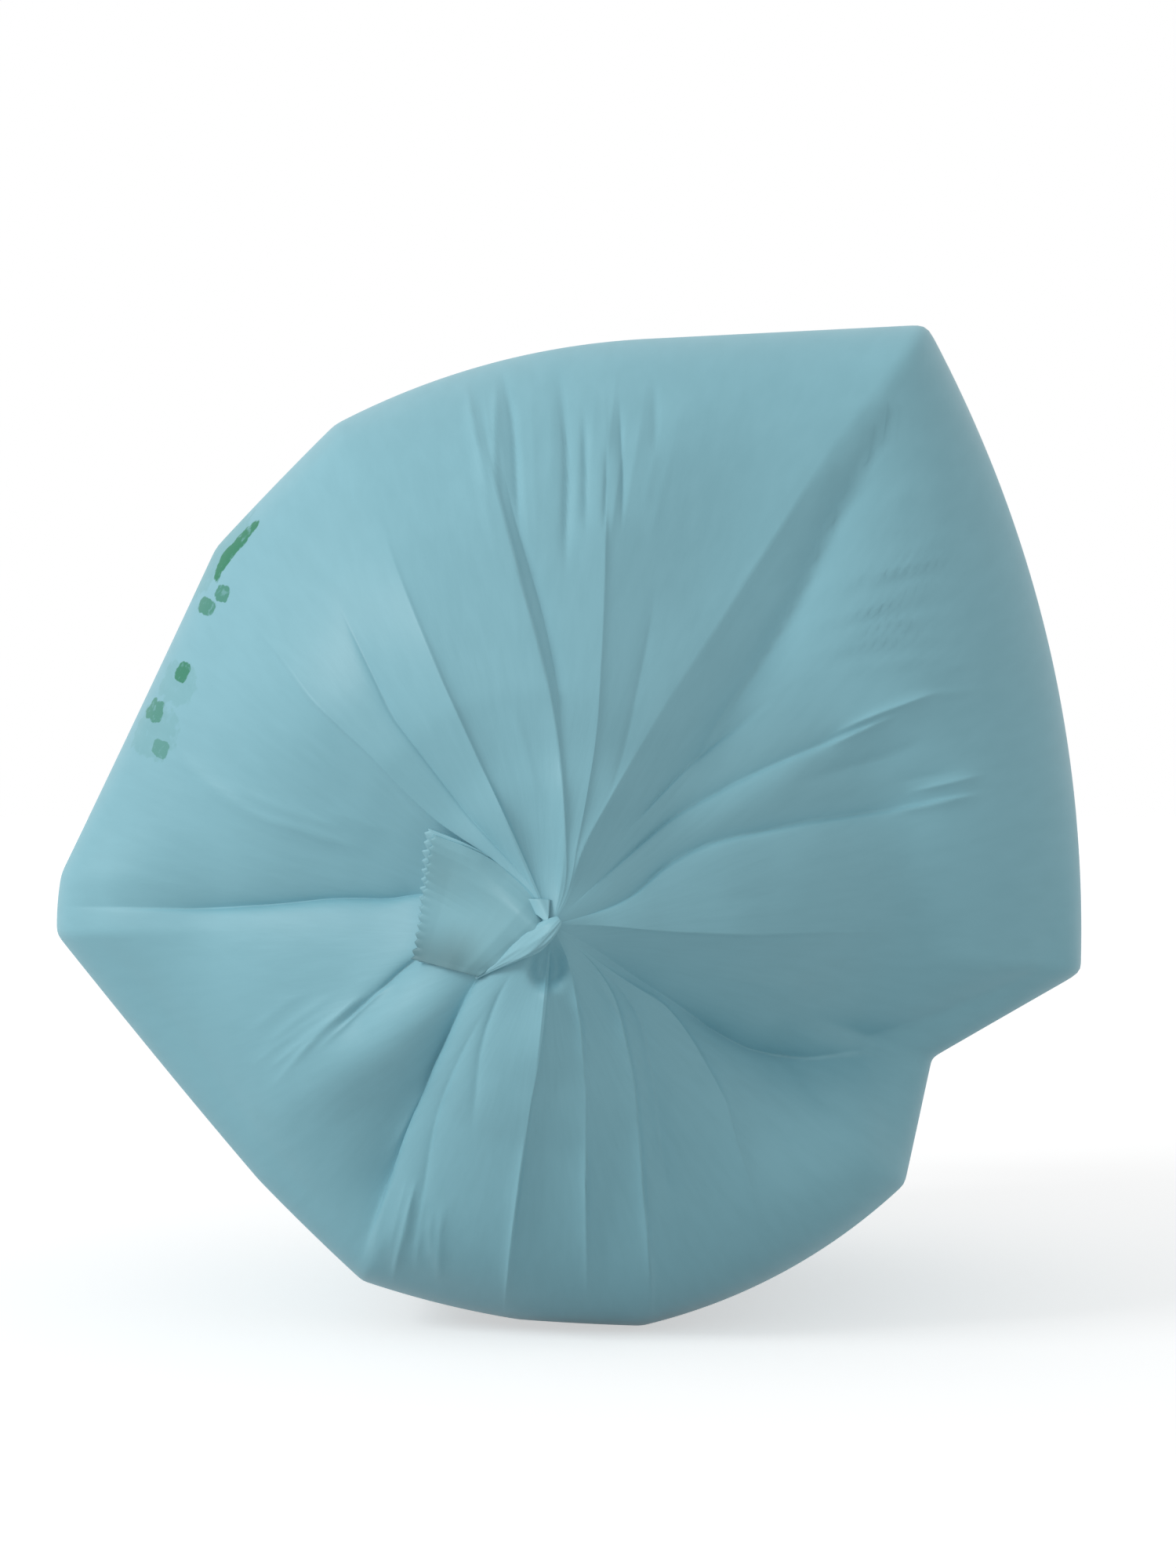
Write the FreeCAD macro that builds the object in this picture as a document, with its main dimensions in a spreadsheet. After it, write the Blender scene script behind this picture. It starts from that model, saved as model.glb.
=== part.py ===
"""Star-sealed plastic bag, blown up with air and lying on its side.

The bag's length runs along Y, with its star-sealed base towards -Y and its tied mouth
towards +Y.  Sketches are drawn about the seal: X to the right and Z up when the base is
looked at.  The finished bag stands on the small flat that its weight presses into its
underside, with the origin in that flat's plane under the middle of the whole bag.
"""
import FreeCAD, Part
import math
import os

import Sketcher

SIZES = {
    # corners of the blown-up bag's outline, measured from the seal
    "seal_height": 121.0,
    "lobe_x": 159.5,
    "lobe_z": -14.5,
    "peak_x": 112.0,
    "peak_z": 183.0,
    "brow_x": -65.5,
    "brow_z": 151.0,
    "cheek_x": -149.5,
    "cheek_z": 6.0,
    "heel_x": -57.0,
    "heel_z": -107.0,
    "sole_left_x": -22.0,
    "sole_right_x": 27.0,
    "toe_x": 107.0,
    "toe_z": -77.0,
    "notch_x": 114.5,
    "notch_z": -40.0,
    # how far each side of the outline swells out between its corners
    "lobe_swell": 15.0,
    "peak_swell": 12.0,
    "brow_swell": 13.0,
    "cheek_swell": 6.0,
    "heel_swell": 1.5,
    "sole_swell": 1.5,
    "toe_swell": 7.0,
    "notch_swell": 1.5,
    "fold_swell": 1.0,
    # along the bag
    "front_depth": 88.0,
    "barrel_length": 105.0,
    "back_depth": 112.0,
    # the folds that run from the seal to the outline, and the panels between them
    "fold_pull": 0.28,
    "panel_puff": 9.0,
    # the gathered neck, its knot and the two handle ends beyond it
    "neck_x": 6.0,
    "neck_z": 24.0,
    "neck_radius": 9.0,
    "neck_length": 14.0,
    "knot_radius": 16.0,
    "knot_length": 26.0,
    "ear_length": 58.0,
    "ear_width": 42.0,
    "ear_thickness": 8.0,
    "ear_spread": 38.0,
    # the folded tab outside the seal, with its torn edge
    "tab_length": 38.0,
    "tab_width": 36.0,
    "tab_root": 13.0,
    "tab_thickness": 1.4,
    "tab_tilt": -9.0,
    "tooth_depth": 1.6,
    "tooth_count": 7.0,
}

# the corners in order round the outline, each with the swell of the side that follows
# it, whether that side puffs out near the seal, and whether the corner lies in a fold
CORNERS = (
    ("lobe", "lobe_swell", True, False),
    ("peak", "peak_swell", True, False),
    ("brow", "brow_swell", True, False),
    ("cheek", "cheek_swell", True, True),
    ("heel", "heel_swell", False, True),
    ("sole_left", "sole_swell", False, False),
    ("sole_right", "toe_swell", False, False),
    ("toe", "notch_swell", False, False),
    ("notch", "fold_swell", False, True),
)

# sections across the two rounded ends, in degrees from the bag's axis
FRONT_STEPS = (9, 20, 33, 47, 61, 76)
BACK_STEPS = (74, 57, 41, 27)

# how far joined shapes reach into each other
OVERLAP = 0.2

SEAL_FACE = f"sizes.front_depth * cos({FRONT_STEPS[0]} deg)"
NECK_START = "(sizes.barrel_length + sizes.back_depth)"
NECK_END = f"({NECK_START} + sizes.neck_length)"
KNOT_MIDDLE = f"({NECK_END} + sizes.knot_length / 2 - {OVERLAP})"


def make_sheet(document):
    sheet = document.addObject("Spreadsheet::Sheet", "sizes")
    for row, (name, value) in enumerate(SIZES.items(), start=1):
        sheet.set(f"A{row}", name)
        sheet.set(f"B{row}", str(value))
        sheet.setAlias(f"B{row}", name)
    return sheet


def make_sketch(body, name, plane, offset, turn_axis=None):
    """Empty sketch on one of the body's own planes, moved from it by the offset's rules."""
    sketch = body.newObject("Sketcher::SketchObject", name)
    support = [feature for feature in body.Origin.OriginFeatures if feature.Role == plane]
    sketch.AttachmentSupport = [(support[0], "")]
    sketch.MapMode = "FlatFace"
    if turn_axis:
        turn = FreeCAD.Rotation(FreeCAD.Vector(*turn_axis), 1)
        sketch.AttachmentOffset = FreeCAD.Placement(FreeCAD.Vector(), turn)
    for path, rule in offset.items():
        sketch.setExpression(f"AttachmentOffset.{path}", rule)
    return sketch


def bind(sketch, kind, references, rule, name=""):
    """Dimension that follows the sheet."""
    value = sketch.evalExpression(rule)
    index = sketch.addConstraint(Sketcher.Constraint(kind, *references, value))
    if name:
        sketch.renameConstraint(index, name)
    sketch.setExpression(f"Constraints[{index}]", rule)


def bind_point(sketch, edge, end, rule_across, rule_up, name=""):
    """Holds one end of an edge at a point measured from the sketch's origin."""
    bind(sketch, "DistanceX", (-1, 1, edge, end), rule_across, name and f"{name}_x")
    bind(sketch, "DistanceY", (-1, 1, edge, end), rule_up, name and f"{name}_z")


def point(sketch, rule_across, rule_up):
    return FreeCAD.Vector(sketch.evalExpression(rule_across), sketch.evalExpression(rule_up), 0)


def join_ends(sketch, count):
    """Closes a chain of edges, each one's end to the next one's start."""
    for edge in range(count):
        sketch.addConstraint(Sketcher.Constraint("Coincident", edge, 2, (edge + 1) % count, 1))


def polygon(sketch, corners):
    """Closed outline of straight edges through corners given as rules."""
    points = [point(sketch, *corner) for corner in corners]
    for index, start in enumerate(points):
        sketch.addGeometry(Part.LineSegment(start, points[(index + 1) % len(points)]))
    join_ends(sketch, len(points))
    for index, corner in enumerate(corners):
        bind_point(sketch, index, 1, *corner)


def corner_rules(corner, share, middle):
    """Where a corner of the bag's outline lies in a section drawn in towards its middle."""
    full_z = "-sizes.seal_height" if corner.startswith("sole") else f"sizes.{corner}_z"
    rules = []
    for full, centre in ((f"sizes.{corner}_x", middle[0]), (full_z, middle[1])):
        rules.append(f"{centre} + ({full} - {centre}) * {share}")
    return rules


def bag_section(body, name, back, share, pull=0.0, puff=0.0, middle=("0", "0")):
    """One section across the bag: an arc between each two corners of its outline.

    share draws the section in towards its middle, pull draws the folds in further, and
    puff swells the panels between them.
    """
    sketch = make_sketch(body, name, "XZ_Plane", {"Base.z": f"-({back})"})
    rules = {}
    swells = []
    for corner, swell, puffs, in_fold in CORNERS:
        own_share = f"{share} * (1 - sizes.fold_pull * {pull:.4f})" if in_fold else share
        rules[corner] = corner_rules(corner, own_share, middle)
        swells.append(f"(sizes.{swell} * {share} + sizes.panel_puff * {puff * puffs:.4f})")
    names = list(rules)
    for index, corner in enumerate(names):
        start = point(sketch, *rules[corner])
        end = point(sketch, *rules[names[(index + 1) % len(names)]])
        outward = FreeCAD.Vector(end.y - start.y, start.x - end.x, 0).normalize()
        crest = (start + end) / 2 + outward * sketch.evalExpression(swells[index])
        sketch.addGeometry(Part.Arc(start, crest, end))
    join_ends(sketch, len(names))
    for index, corner in enumerate(names):
        bind_point(sketch, index, 1, *rules[corner], name=corner)
    for index, corner in enumerate(names):
        following = names[(index + 1) % len(names)]
        across = f"(Constraints.{following}_x - Constraints.{corner}_x)"
        rise = f"(Constraints.{following}_z - Constraints.{corner}_z)"
        swell = f"({swells[index]} * 1 mm)"
        rule = f"(pow({across}; 2) + pow({rise}; 2)) / (8 * {swell}) + {swell} / 2"
        bind(sketch, "Radius", (index,), rule)
    return sketch


def loft(body, name, sections):
    feature = body.newObject("PartDesign::AdditiveLoft", name)
    feature.Profile = (sections[0], [""])
    feature.Sections = [(section, [""]) for section in sections[1:]]
    return feature


def blown_up_film(body):
    """The bag from the star seal, over its widest part, to the gathered neck."""
    sections = []
    for step in FRONT_STEPS:
        angle = math.radians(step)
        sections.append(bag_section(
            body, f"front_{step}", f"-sizes.front_depth * {math.cos(angle):.4f}",
            f"{math.sin(angle):.4f}", math.cos(angle) ** 2, math.sin(2 * angle)))
    for name, back in (("shoulder", "0"), ("belly", "0.5"), ("hip", "1")):
        sections.append(bag_section(body, name, f"sizes.barrel_length * {back}", "1"))
    neck = ("sizes.neck_x", "sizes.neck_z")
    for step in BACK_STEPS:
        angle = math.radians(step)
        back = f"sizes.barrel_length + sizes.back_depth * {math.cos(angle):.4f}"
        sections.append(bag_section(
            body, f"back_{step}", back, f"{math.sin(angle):.4f}", middle=neck))
    share = "sizes.neck_radius / sizes.peak_z"
    sections.append(bag_section(body, "neck_start", NECK_START, f"1.6 * {share}", middle=neck))
    sections.append(bag_section(body, "neck_end", NECK_END, share, middle=neck))
    return loft(body, "blown_up_film", sections)


def knot(body):
    """Lens-shaped knot round the neck's axis."""
    place = {"Base.x": KNOT_MIDDLE, "Base.y": "sizes.neck_z", "Base.z": "sizes.neck_x"}
    sketch = make_sketch(body, "knot_outline", "YZ_Plane", place)
    start = point(sketch, "sizes.knot_length / 2", "0")
    crest = point(sketch, "0", "sizes.knot_radius")
    end = point(sketch, "-sizes.knot_length / 2", "0")
    sketch.addGeometry(Part.Arc(start, crest, end))
    sketch.addGeometry(Part.LineSegment(end, start))
    join_ends(sketch, 2)
    bind_point(sketch, 0, 1, "sizes.knot_length / 2", "0")
    bind_point(sketch, 0, 2, "-sizes.knot_length / 2", "0")
    half = "(sizes.knot_length / 2)"
    bind(sketch, "Radius", (0,), f"(pow({half}; 2) + pow(sizes.knot_radius; 2)) / (2 * sizes.knot_radius)")
    feature = body.newObject("PartDesign::Revolution", "knot")
    feature.Profile = sketch
    feature.ReferenceAxis = (sketch, ["H_Axis"])
    feature.Angle = 360
    return feature


def ear_section(body, name, side, reach, width):
    """Rounded flat section of a handle end, square to the way the end points."""
    place = {
        "Base.x": f"sizes.neck_x + {side} * {reach} * sin(sizes.ear_spread * 1 deg)",
        "Base.y": "sizes.neck_z",
        "Base.z": f"-({KNOT_MIDDLE} + {reach} * cos(sizes.ear_spread * 1 deg))",
        "Rotation.Angle": f"{-side} * sizes.ear_spread",
    }
    sketch = make_sketch(body, name, "XZ_Plane", place, turn_axis=(0, 1, 0))
    half = "(sizes.ear_thickness / 2)"
    straight = f"({width} / 2 - {half})"
    corners = [
        (half, f"-{straight}"), (half, straight),
        (f"-{half}", straight), (f"-{half}", f"-{straight}")]
    low_right, high_right, high_left, low_left = [point(sketch, *corner) for corner in corners]
    crest = point(sketch, "0", f"{width} / 2")
    sketch.addGeometry(Part.LineSegment(low_right, high_right))
    sketch.addGeometry(Part.Arc(high_right, crest, high_left))
    sketch.addGeometry(Part.LineSegment(high_left, low_left))
    sketch.addGeometry(Part.Arc(low_left, -crest, low_right))
    join_ends(sketch, 4)
    bind_point(sketch, 0, 1, *corners[0])
    bind_point(sketch, 0, 2, *corners[1])
    bind_point(sketch, 2, 1, *corners[2])
    bind_point(sketch, 2, 2, *corners[3])
    bind(sketch, "DistanceY", (-1, 1, 1, 3), straight)
    bind(sketch, "DistanceY", (-1, 1, 3, 3), f"-{straight}")
    return sketch


def ear(body, name, side):
    """One tied handle end, flat and widening away from the knot."""
    root = ear_section(body, f"{name}_root", side, "0", "sizes.knot_radius")
    tip = ear_section(body, f"{name}_tip", side, "sizes.ear_length", "sizes.ear_width")
    return loft(body, name, [root, tip])


def tab_sketch(body, name):
    place = {"Base.z": f"{SEAL_FACE} - {OVERLAP}", "Rotation.Angle": "sizes.tab_tilt"}
    return make_sketch(body, name, "XZ_Plane", place, turn_axis=(0, 0, 1))


def tab(body):
    """Folded strip of film outside the seal, with its torn edge."""
    sketch = tab_sketch(body, "tab_outline")
    root = "sizes.tab_root / 2"
    edge = "sizes.tab_width / 2"
    polygon(sketch, [
        ("sizes.tab_root / 4", f"-{root}"), ("sizes.tab_root / 4", root),
        ("-sizes.tab_length", edge), ("-sizes.tab_length", f"-{edge}")])
    plate = body.newObject("PartDesign::Pad", "tab")
    plate.Profile = sketch
    plate.setExpression("Length", f"sizes.tab_thickness + {OVERLAP}")

    gap = tab_sketch(body, "tooth_gap_outline")
    pitch = "sizes.tab_width / sizes.tooth_count"
    polygon(gap, [
        ("-sizes.tab_length", f"-{edge}"),
        ("-sizes.tab_length + sizes.tooth_depth", f"-{edge} + {pitch} / 2"),
        ("-sizes.tab_length", f"-{edge} + {pitch}"),
        ("-sizes.tab_length - sizes.tooth_depth", f"-{edge} + {pitch} / 2")])
    tooth_gap = body.newObject("PartDesign::Pocket", "tooth_gap")
    tooth_gap.Profile = gap
    tooth_gap.Reversed = True
    tooth_gap.setExpression("Length", "sizes.tab_thickness * 2")

    teeth = body.newObject("PartDesign::LinearPattern", "teeth")
    teeth.Originals = [tooth_gap]
    teeth.Direction = (gap, ["V_Axis"])
    teeth.setExpression("Length", f"{pitch} * (sizes.tooth_count - 1)")
    teeth.setExpression("Occurrences", "sizes.tooth_count")
    body.Tip = teeth
    return teeth


def resting_flat(body):
    """Cuts the underside level where the bag's weight presses it flat."""
    sketch = make_sketch(body, "floor_outline", "XY_Plane", {"Base.z": "-sizes.seal_height"})
    left = "2 * sizes.cheek_x"
    right = "2 * sizes.lobe_x"
    front = "-2 * sizes.front_depth"
    back = "2 * sizes.barrel_length"
    polygon(sketch, [(left, front), (right, front), (right, back), (left, back)])
    cut = body.newObject("PartDesign::Pocket", "resting_flat")
    cut.Profile = sketch
    cut.setExpression("Length", "sizes.seal_height")
    return cut


def make_bag(document):
    body = document.addObject("PartDesign::Body", "bag")
    body.Label = "bag"
    blown_up_film(body)
    knot(body)
    ear(body, "right_ear", 1)
    ear(body, "left_ear", -1)
    tab(body)
    document.recompute()
    resting_flat(body)
    document.recompute()
    return body


def stand_on_origin(body):
    """Puts the middle of the bag's underside at the origin."""
    extent = body.Shape.optimalBoundingBox(False)
    middle_x = (extent.XMin + extent.XMax) / 2
    middle_y = (extent.YMin + extent.YMax) / 2
    body.Placement.Base = FreeCAD.Vector(-middle_x, -middle_y, SIZES["seal_height"])


def check(document, bodies):
    for item in document.Objects:
        if {"Invalid", "Error"} & set(item.State):
            raise RuntimeError(f"{item.Name} failed to build")
    for body in bodies:
        if body.Shape.isNull() or not body.Shape.isValid():
            raise RuntimeError(f"{body.Label} has no valid shape")
        if len(body.Shape.Solids) != 1:
            raise RuntimeError(f"{body.Label} is not one solid")


def main():
    document = FreeCAD.newDocument("star_sealed_bag")
    make_sheet(document)
    document.recompute()
    bag = make_bag(document)
    stand_on_origin(bag)
    document.recompute()
    check(document, [bag])
    os.makedirs("parts", exist_ok=True)
    bag.Shape.exportStep(f"parts/{bag.Label}.step")
    extent = bag.Shape.optimalBoundingBox(False)
    print(f"{bag.Label}: {extent.XLength:.1f} x {extent.YLength:.1f} x {extent.ZLength:.1f} mm, "
          f"volume {bag.Shape.Volume / 1e6:.3f} litres")


main()
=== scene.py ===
from collections import namedtuple
from math import cos, pi, radians, sin, tau

import bpy
import numpy as np
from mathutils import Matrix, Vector
from mathutils.bvhtree import BVHTree


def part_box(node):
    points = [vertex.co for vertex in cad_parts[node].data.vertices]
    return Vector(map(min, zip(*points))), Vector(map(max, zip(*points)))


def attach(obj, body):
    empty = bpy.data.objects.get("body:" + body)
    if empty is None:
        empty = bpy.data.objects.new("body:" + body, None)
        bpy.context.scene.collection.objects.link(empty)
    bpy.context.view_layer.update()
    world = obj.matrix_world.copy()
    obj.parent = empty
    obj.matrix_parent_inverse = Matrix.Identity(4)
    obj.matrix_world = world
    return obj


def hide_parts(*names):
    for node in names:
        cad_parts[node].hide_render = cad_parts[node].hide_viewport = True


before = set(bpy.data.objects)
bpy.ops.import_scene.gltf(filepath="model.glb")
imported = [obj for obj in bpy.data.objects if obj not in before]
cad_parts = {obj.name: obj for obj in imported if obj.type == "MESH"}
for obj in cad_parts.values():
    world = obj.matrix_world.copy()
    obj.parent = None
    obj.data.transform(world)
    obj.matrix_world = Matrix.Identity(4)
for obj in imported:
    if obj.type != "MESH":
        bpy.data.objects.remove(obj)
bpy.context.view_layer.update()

# Sizes are in millimetres and angles in degrees, unless a name says otherwise.
MM = 0.001

# ---------------------------------------------------------------- the bag's frame
# Shapes are drawn about the seal: across to the right, up, and out towards the viewer
# from the shoulder, where the bag is widest.  The front is a dome, with a point at the
# seal that stands on it.
BAG_LOW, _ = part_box("bag")
SEAL_FROM_LEFT = 150.2
SEAL_HEIGHT = 121.0
SHOULDER_FROM_FRONT = 88.3
FRONT_DEPTH = 72.0
BARREL_LENGTH = 105.0
BACK_DEPTH = 112.0
NECK_ACROSS, NECK_UP = 6.0, 24.0
NECK_LENGTH = 20.0
NECK_RADIUS = 9.0
KNOT_OUT = -244.0


def to_row(across, up, out):
    """Points about the seal, as metres in the part's own frame."""
    x = BAG_LOW[0] + (SEAL_FROM_LEFT + across) * MM
    y = BAG_LOW[1] + (SHOULDER_FROM_FRONT - out) * MM
    z = BAG_LOW[2] + (SEAL_HEIGHT + up) * MM
    return np.stack(np.broadcast_arrays(x, y, z), axis=-1)


def ease(low, high, value):
    """Rises smoothly from 0 at low to 1 at high."""
    share = np.clip((value - low) / (high - low), 0, 1)
    return share * share * (3 - 2 * share)


def between(first, second, share):
    """What lies a share of the way from the first to the second."""
    return first * (1 - share) + second * share


def turned(across, up, angle):
    """A place turned about (0, 0)."""
    turn = radians(angle)
    return across * cos(turn) - up * sin(turn), across * sin(turn) + up * cos(turn)


def turn_between(angle, other):
    """Signed turn from other to angle, from -180 to 180."""
    return (angle - other + 180) % 360 - 180


def smoothed(values, width, wrap=True):
    """Values averaged over a bell of the given width in samples."""
    reach = int(width * 3) + 1
    bell = np.exp(-0.5 * (np.arange(-reach, reach + 1) / width) ** 2)
    padded = np.pad(values, reach, mode="wrap" if wrap else "edge")
    return np.convolve(padded, bell / bell.sum(), mode="valid")


# ---------------------------------------------------------------- outline
# Corners of the blown-up bag round its widest part, and the swell of the side that
# follows each.
OUTLINE = (
    ("lobe", 159.7, -14.3, 13.5),
    ("peak", 113.2, 181.3, 0.0),
    ("crown", 31.0, 177.1, 5.6),
    ("brow", -65.5, 151.0, 0.3),
    ("temple", -101.3, 113.8, -0.3),
    ("upper_cheek", -147.9, 15.6, 0.5),
    ("lower_cheek", -149.3, -2.8, 0.4),
    ("jaw", -88.1, -76.6, 0.3),
    ("heel", -57.0, -107.0, 1.0),
    ("left_sole", -10.0, -118.6, 0.2),
    ("right_sole", 27.0, -120.6, 6.0),
    ("toe", 106.3, -78.0, 0.0),
    ("notch", 114.5, -40.0, 0.0),
)
OUTLINE_STEPS = 60
# Widths of the bells that round the outline, in samples of CIRCLE.
CIRCLE = np.arange(0, 360, 0.1)
CORNER_ROUNDING, SOFT_ROUNDING, BACK_ROUNDING = 5, 110, 260
BACK_SWELL = 1.5


def outline_reaches():
    """Angles and reaches from the seal of points close together along the outline."""
    points = []
    for index, (_, across, up, swell) in enumerate(OUTLINE):
        _, next_across, next_up, _ = OUTLINE[(index + 1) % len(OUTLINE)]
        start = np.array([across, up])
        side = np.array([next_across, next_up]) - start
        outward = np.array([side[1], -side[0]]) / np.linalg.norm(side)
        share = np.arange(OUTLINE_STEPS)[:, None] / OUTLINE_STEPS
        points.append(start + side * share + outward * swell * 4 * share * (1 - share))
    points = np.concatenate(points)
    angles = np.degrees(np.arctan2(points[:, 1], points[:, 0])) % 360
    order = np.argsort(angles)
    return angles[order], np.hypot(points[:, 0], points[:, 1])[order]


SHARP_OUTLINE = smoothed(np.interp(CIRCLE, *outline_reaches(), period=360), CORNER_ROUNDING)
SOFT_OUTLINE = smoothed(SHARP_OUTLINE, SOFT_ROUNDING)
ROUND_OUTLINE = np.minimum(smoothed(SHARP_OUTLINE, BACK_ROUNDING), SHARP_OUTLINE + BACK_SWELL)


def reach_of(outline, angle):
    """Reach of an outline from the seal at each angle."""
    return np.interp(angle % 360, CIRCLE, outline, period=360)


# ---------------------------------------------------------------- creases in the film
# A crease runs along a path of (angle, reach) about the seal.  Its height is that of a
# ridge, or of a valley if negative, and it fades out over "before" millimetres on its
# clockwise side and "after" on the other.  "step" is the share of the height that is
# lost at once, on the clockwise side if negative.  The film's mesh follows the creases
# in FOLDS, and crosses those in STRANDS.
Crease = namedtuple("Crease", "path height before after step", defaults=(0,))

LOBE_EDGE = ((327.8, 42), (326.8, 58), (327.5, 74), (329.8, 88), (332, 98), (335.5, 108), (339, 118))

FOLDS = [Crease(*row) for row in (
    # out to the right
    (((15, 8), (18, 20), (24.5, 29), (27.8, 34), (28, 46), (25.5, 57), (23.7, 66),
      (21.2, 84), (19, 102), (18.3, 112), (17.2, 133)), -7.5, 13, 24, -0.26),
    (((43, 14), (42, 44), (39, 57), (35.9, 77), (33.6, 93), (32, 109), (31.5, 122)),
      -5.2, 10, 13, -0.3),
    (((51, 34), (50, 52), (48.4, 66), (46.8, 78), (45.5, 90)), -3, 6, 8, -0.45),
    # the ridge up to the peak
    (((56, 8), (62, 11), (66, 15), (68, 22), (65.5, 33), (64.3, 44), (62.6, 66),
      (61.2, 89), (60.5, 112), (60, 136), (59.5, 160), (58, 205)), 4.4, 11, 60),
    # the fan of pleats above the seal
    (((61, 8), (66, 12), (72, 20), (74.8, 35), (76.5, 50), (79, 68), (80.7, 88),
      (82, 107), (83.5, 136), (84.5, 160)), 6, 34, 36, -0.1),
    (((68, 8), (73, 13), (79, 20), (82.5, 27), (86, 39), (89, 54), (92, 70), (94.7, 88),
      (96.5, 111), (98, 136), (98.2, 158)), 6.6, 24, 60, -0.17),
    (((112, 5), (113, 26), (114, 44), (114.2, 66), (113.8, 89), (113.3, 112), (112.3, 126)),
           8.5, 24, 42, -0.08),
    (((116, 8), (120, 14), (125, 24), (127.5, 36), (127.5, 72), (126.5, 76), (125, 89),
      (123, 112)), -2.8, 8, 6, 0.25),
    (((120, 8), (126, 14), (130.5, 20), (135.5, 31), (138, 40), (138, 50), (137, 66),
      (137, 89), (135.5, 103), (134.5, 126), (134, 131)), 8.5, 18, 30, 0.1),
    # the valley out to the left
    (((163, 15), (166, 38), (171, 48), (171.9, 57), (173, 66), (174.8, 77), (176, 88),
      (176.9, 100), (177.4, 112), (178, 160)), -19, 34, 62, 0.05),
    (((193, 34), (194, 40), (200.5, 52), (204.5, 65), (208.3, 78)), -3.2, 1.8, 8),
    # the fan below the seal
    (((267, 5), (265.4, 30), (264.5, 40), (263.3, 48), (263, 66), (262.9, 82), (263.2, 100),
      (263.5, 122)), 5.6, 28, 14, 0.2),
    (((297, 6), (289.3, 19), (285.8, 29), (283.2, 38), (279.6, 58), (277.2, 76), (275.5, 112)),
           4.8, 14, 11, 0.25),
    (((318, 11), (315.5, 18), (310, 28), (303.5, 36), (299.3, 45), (293.2, 62), (289, 80),
      (286.5, 100), (284.5, 116), (283.5, 126)), 7, 15, 13, 0.3),
    (((322, 16), (323.8, 30), (325.3, 39), (322.7, 48), (319.9, 57), (316.9, 66), (314.7, 75),
      (310.9, 84), (307.2, 98), (304, 112)), 4, 16, 10, 0.25),
    # the fold under the lobe, and the ridge above it
    (((333, 9), (329.5, 18), (328, 28), *LOBE_EDGE, (341, 128)), -24, 60, 30),
    (((360.5, 8), (357.4, 22), (356.6, 31), (356.9, 48), (357.2, 57), (357.9, 66), (358.4, 80),
      (358.6, 106)), 15, 38, 130, -0.04),
)]

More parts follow.
